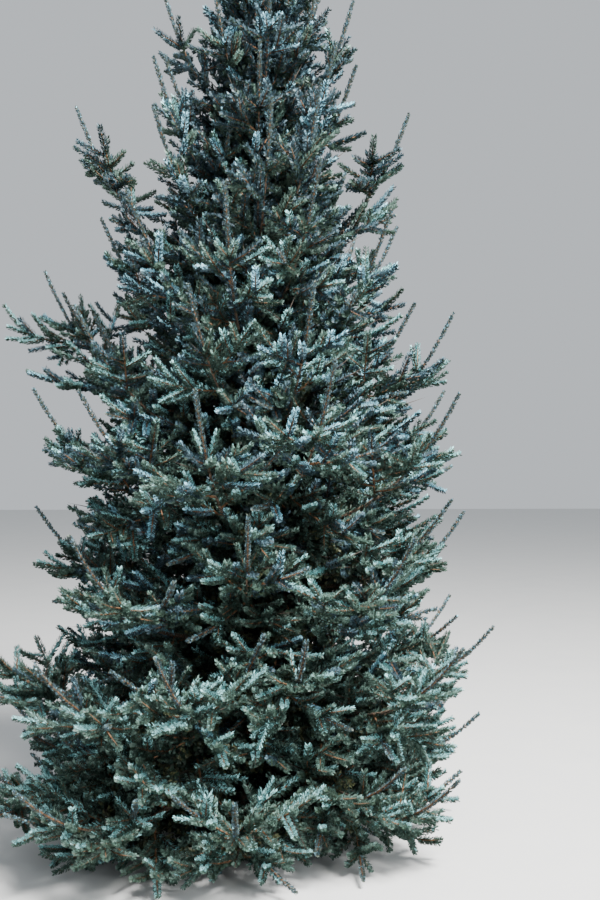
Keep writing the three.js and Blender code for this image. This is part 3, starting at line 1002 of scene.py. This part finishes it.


# Needles. Flat needles in tufts of three, each needle one thin face, leaning forward more and more towards
# the shoot's tip. The upper ones are parted, so that the brown twig shows, and pale: the wax's own colour
# with painted light from above. The under ones are darker, as painted shade. They are bluer high up, darker
# and greener deep inside, partly as older needles and partly as painted shade where little light reaches,
# and counted by the metre of shoot.
MOST_NEEDLES = 1400
LEAST_NEEDLES = 240
OLD_NEEDLES = 210
LEADER_NEEDLES = 1250
OLD_WOOD_SHARE = 0.85
TUFT = 3
THINNING_POWER = 1.6
NEEDLE_LENGTH = 0.0232
NEEDLE_WIDTH = 0.005
NEEDLE_LENGTH_RANGE = (0.85, 1.12)
NEEDLE_WIDTH_RANGE = (0.85, 1.15)
OLD_NEEDLE_LENGTH = 0.028
OLD_NEEDLE_WIDTH = 0.0125
HIDDEN_LONGER = 0.2
HIDDEN_WIDER = 1.2
UNDER_WIDER = 1.35
LEADER_NEEDLE_LENGTH = 0.0175
LEADER_NEEDLE_WIDTH = 0.0056

# A needle's shape, its place in its tuft, and its lean in degrees at the shoot's foot and at its tip.
SHOULDER = 0.7
NEEDLE_BEND = 0.1
TIP_SHORTER = 0.2
TIP_POWER = 4
TUFT_STAGGER = 0.4
GOLDEN_TURN = GOLDEN_HALF_TURNS / 2
AROUND_SPREAD = 0.14
PARTING = math.radians(30)
SHOOT_LEANS = (52, 42)
LEADER_LEANS = (46, 34)
LEAN_POWER = 1.5
LEAN_SPREAD = 6
NEEDLE_ROLL_SPREAD = 0.15
LOWEST_NEEDLE = 0.002

dressing = np.random.default_rng(17)


def needle_tufts(rows, counts, lengths, widths, leans, facing):
    """Seven points for each tuft: the foot its needles share, and a shoulder and a tip for each needle.

    Facing is the turn of the half that the needles fill: 0 for the upper one, which is parted along the
    top of the shoot, and half a turn for the under one.
    """
    owner = np.repeat(np.arange(len(rows)), counts)
    total = len(owner)
    number = np.arange(total) - np.repeat(np.cumsum(counts) - counts, counts)
    u = ((number + 0.5 + TUFT_STAGGER * dressing.uniform(-1, 1, total)) / counts[owner])[:, None]
    rows = rows[owner]
    curve = UP * rows[:, CURVE : CURVE + 1]
    foot = rows[:, BASE] + rows[:, LENGTH : LENGTH + 1] * (rows[:, WAY] * u + curve * u**2)
    along = unit(rows[:, WAY] + curve * 2 * u)
    side, over = across(along)
    phase = dressing.uniform(0, 1, len(counts))[owner]
    base_lean, tip_lean = leans[owner, 0:1], leans[owner, 1:2]
    lean_here = base_lean + (tip_lean - base_lean) * u**LEAN_POWER
    parting = 0 if facing else PARTING
    points = [foot]
    for needle in range(TUFT):
        turn = (number * GOLDEN_TURN + phase + needle / TUFT) % 1
        around = np.sign(turn - 0.5) * parting + (math.pi - 2 * parting) * (turn - 0.5)
        around += facing + AROUND_SPREAD * dressing.uniform(-1, 1, total)
        radial = over * np.cos(around)[:, None] + side * np.sin(around)[:, None]
        lean = lean_here + LEAN_SPREAD * dressing.uniform(-1, 1, (total, 1))
        way = along * np.cos(np.radians(lean)) + radial * np.sin(np.radians(lean))
        tangent = np.cross(radial, along)
        roll = NEEDLE_ROLL_SPREAD * dressing.uniform(-1, 1, (total, 1))
        broad = tangent * np.cos(roll) + np.cross(way, tangent) * np.sin(roll)
        long = (lengths[owner] * dressing.uniform(*NEEDLE_LENGTH_RANGE, total))[:, None]
        long = long * (1 - TIP_SHORTER * u**TIP_POWER)
        wide = (widths[owner] * dressing.uniform(*NEEDLE_WIDTH_RANGE, total))[:, None]
        hand = 1 if needle % 2 else -1
        points.append(foot + way * long * SHOULDER + broad * wide * hand)
        points.append(foot + way * long + UP * NEEDLE_BEND * long)
    points = np.stack(points, axis=1)
    points[..., 2] = np.maximum(points[..., 2], LOWEST_NEEDLE)
    return points


SPECKLE_FROM = 0.39
SPECKLE_TO = 0.58


def needle_material(name, colour, darker):
    """Waxy needles of one tint, a little paler and darker from one to the next."""
    material, add, place, shader = new_material(name, 0.5, 0.35)
    speckle = noise(add, place, 170.0, 2.0, 0.6)
    sockets = {"Value": speckle, "From Min": SPECKLE_FROM, "From Max": SPECKLE_TO}
    contrast = add("ShaderNodeMapRange", {}, sockets)
    mixed(add, contrast, darker, colour).feed(shader.inputs["Base Color"])
    return material


# Each tint has its colour and the darker one that speckles it.
TINTS = {
    "lit_frosted": ((0.38, 0.77, 0.79), (0.084, 0.19, 0.19)),
    "blue": ((0.142, 0.242, 0.203), (0.04, 0.072, 0.058)),
    "lit_silver": ((0.395, 0.8, 0.95), (0.09, 0.195, 0.24)),
    "slate": ((0.118, 0.205, 0.255), (0.031, 0.057, 0.073)),
    "dusk": ((0.041, 0.08, 0.096), (0.019, 0.039, 0.05)),
    "deep": ((0.057, 0.104, 0.084), (0.027, 0.053, 0.041)),
    "shaded": ((0.032, 0.058, 0.038), (0.012, 0.027, 0.017)),
    "olive": ((0.085, 0.095, 0.042), (0.028, 0.033, 0.015)),
    "leader": ((0.1, 0.125, 0.1), (0.048, 0.06, 0.048)),
}
# The shares of the tints on the upper and on the under half of a shoot of each look: the pale tints on the
# upper half are painted light from above, and the dark ones on the under half are painted shade.
TINT_SHARES = {
    "lit_frosted": ({"lit_frosted": 0.97, "blue": 0.03}, {"blue": 0.2, "deep": 0.65, "shaded": 0.15}),
    "blue": ({"lit_frosted": 0.12, "blue": 0.8, "deep": 0.08}, {"blue": 0.15, "deep": 0.75, "shaded": 0.1}),
    "lit_silver": ({"lit_silver": 0.97, "slate": 0.03}, {"slate": 0.18, "dusk": 0.67, "shaded": 0.15}),
    "slate": ({"lit_silver": 0.12, "slate": 0.8, "dusk": 0.08}, {"slate": 0.1, "dusk": 0.7, "shaded": 0.2}),
    "dusk": ({"slate": 0.3, "dusk": 0.7}, {"dusk": 0.45, "shaded": 0.55}),
    "deep": ({"blue": 0.3, "deep": 0.7}, {"deep": 0.5, "shaded": 0.5}),
    "shaded": ({"blue": 0.06, "deep": 0.3, "shaded": 0.64}, {"shaded": 1}),
    "olive": ({"olive": 0.8, "shaded": 0.2}, {"olive": 0.5, "shaded": 0.5}),
    "leader": ({"leader": 0.45, "lit_silver": 0.13, "slate": 0.42}, {"leader": 0.6, "slate": 0.4}),
}
UPPER_SHARE = 0.52

# A shoot's look goes by luck, by its view and by its height, from 0 at the lowest storey to 1 at the top.
# Dim shoots, which little light reaches, take painted shade: the shaded tint, and the bluer dusk tint on the
# bluer shoots, which grow more often high up.
COARSE_VIEW = 0.25
FROSTED_VIEW = 0.3
FROSTED_UP = ((0, 0.2, 0.35, 0.6), (0.37, 0.39, 0.44, 0.25))
BLUE_UP = ((0.35, 0.6), (0.3, 0.15))
SHADED_VIEW = 0.14
SHADED_VIEW_RISE = 0.2
OLIVE_SHARE = 0.5
OLIVE_VIEW = 0.2
LUCK_OF_SPRAY = 0.35
BLUER_FROM = 0.05
GREENER = ("lit_frosted", "blue", "deep")
BLUER = ("lit_silver", "slate", "dusk")
PALEST, MIDDLE, DEEPEST = range(3)

share_up = (shoots[:, STOREY] - 1) / (len(STOREYS) - 1)
by_spray = np.random.default_rng(5).uniform(0, 1, spray + 1)[shoots[:, SPRAY].astype(int)]
luck = LUCK_OF_SPRAY * by_spray + (1 - LUCK_OF_SPRAY) * dressing.uniform(0, 1, len(shoots))
lit_frosted = np.interp(share_up, *FROSTED_UP)
depth = np.full(len(shoots), MIDDLE)
depth[luck > lit_frosted + np.interp(share_up, *BLUE_UP)] = DEEPEST
# Painted light: only shoots that light reaches can take the palest look.
depth[(luck < lit_frosted) & (view > FROSTED_VIEW)] = PALEST
bluer = dressing.uniform(BLUER_FROM, 1, len(shoots)) < share_up
look = np.where(bluer, np.take(BLUER, depth), np.take(GREENER, depth)).astype(object)
# Painted shade: shoots that little light reaches take the darkest tints, a bluer one on the bluer shoots.
dim = view < SHADED_VIEW + SHADED_VIEW_RISE * share_up
look[dim & bluer] = "dusk"
look[dim & ~bluer] = "shaded"
look[(view < OLIVE_VIEW) & (luck < OLIVE_SHARE * (1 - share_up))] = "olive"
leading = shoots[:, KIND] == LEADER
look[leading] = "leader"
# Painted shade: old shoots that little light reaches take the shaded tint too.
coarse = (shoots[:, KIND] == OLD) & (view < COARSE_VIEW)
look[coarse & (look != "olive")] = "shaded"

hidden = 1 - np.clip(view / CLEAR_VIEW, 0, 1)
per_metre = LEAST_NEEDLES + (MOST_NEEDLES - LEAST_NEEDLES) * (1 - hidden) ** THINNING_POWER
per_metre *= np.where(shoots[:, KIND] == AXIS, OLD_WOOD_SHARE, 1)
per_metre[leading] = LEADER_NEEDLES
per_metre[coarse] = OLD_NEEDLES
tufts = per_metre * shoots[:, LENGTH] / TUFT
lengths = NEEDLE_LENGTH * (1 + HIDDEN_LONGER * hidden)
widths = NEEDLE_WIDTH * (1 + HIDDEN_WIDER * hidden)
lengths[leading] = LEADER_NEEDLE_LENGTH
widths[leading] = LEADER_NEEDLE_WIDTH
lengths[coarse] = OLD_NEEDLE_LENGTH
widths[coarse] = OLD_NEEDLE_WIDTH
leans = np.where(leading[:, None], LEADER_LEANS, SHOOT_LEANS)

tuft_faces = np.array([[0, 2 * needle + 1, 2 * needle + 2] for needle in range(TUFT)])
for name, (colour, darker) in TINTS.items():
    tint_material = needle_material(f"{name}_needles", colour, darker)
    counts = []
    # Painted light and shade: the upper half of each shoot takes its paler tints and the under half its
    # darker ones.
    for half, half_share in enumerate((UPPER_SHARE, 1 - UPPER_SHARE)):
        shares = np.zeros(len(shoots))
        for shoot_look, both in TINT_SHARES.items():
            shares[look == shoot_look] = both[half].get(name, 0)
        rounding = dressing.uniform(0, 1, len(shoots)) * (shares > 0)
        counts.append(np.floor(tufts * half_share * shares + rounding).astype(int))
    for group, (first, last) in STOREY_GROUPS.items():
        here = (shoots[:, STOREY] >= first) & (shoots[:, STOREY] <= last)
        halves = []
        for facing, wider, half in zip((0, math.pi), (1, UNDER_WIDER), counts):
            chosen = here & (half > 0)
            if chosen.any():
                sizes = lengths[chosen], widths[chosen] * wider, leans[chosen]
                halves.append(needle_tufts(shoots[chosen], half[chosen], *sizes, facing))
        if not halves:
            continue
        points = np.concatenate(halves)
        triangles = (tuft_faces + points.shape[1] * np.arange(len(points))[:, None, None]).reshape(-1, 3)
        piece = joined_mesh(f"needles_{name}_{group}", points.reshape(-1, 3), triangles, tint_material)
        if name == "blue":
            in_group = [bough for bough in boughs if first <= bough.storey <= last]
            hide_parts(*[f"foliage_{bough.storey}_{bough.place}" for bough in in_group])


# Studio. A plain pale floor, a big soft light high up in front and to the right, a weak one below it, and
# pale light from all round.
FLOOR_SIZE = 60
SKY = (0.86, 0.91, 0.96)
SKY_STRENGTH = 0.72
LIT_PLACE = (0, 0, 1.5)

start_modelling()
bpy.ops.mesh.primitive_plane_add(size=FLOOR_SIZE, location=(0, 0, 0))
floor = bpy.context.object
floor.name = "studio_floor"
floor_paint, add, place, shader = new_material("floor_paint", 0.9, 0.2)
mottle = noise(add, place, 3.0, 3.0, 0.5)
mixed(add, mottle, (0.62, 0.63, 0.63), (0.68, 0.68, 0.67)).feed(shader.inputs["Base Color"])
floor.data.materials.append(floor_paint)
floor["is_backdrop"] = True

world = bpy.data.worlds.new("pale_sky")
world.use_nodes = True
backdrop = world.node_tree.nodes["Background"]
backdrop.inputs["Color"].default_value = (*SKY, 1)
backdrop.inputs["Strength"].default_value = SKY_STRENGTH
bpy.context.scene.world = world


def soft_light(name, size, energy, place, aim, colour):
    lamp = bpy.data.lights.new(name, "AREA")
    lamp.size = size
    lamp.energy = energy
    lamp.color = colour
    fixture = bpy.data.objects.new(name, lamp)
    bpy.context.scene.collection.objects.link(fixture)
    way = np.array(aim, dtype=float) - place
    flat = math.hypot(way[0], way[1])
    fixture.location = place
    fixture.rotation_euler = (math.atan2(flat, -way[2]), 0, math.atan2(way[1], way[0]) - math.pi / 2)


soft_light("sky_light", 3.0, 4000, (3.0, -4.3, 8.4), LIT_PLACE, (1.0, 0.98, 0.95))
soft_light("front_light", 4, 400, (5.5, -5.8, 4.0), LIT_PLACE, (0.96, 0.98, 1.0))

sizes = {"cad": [list(corner) for corner in cad_box], "visual": [list(corner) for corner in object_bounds()]}
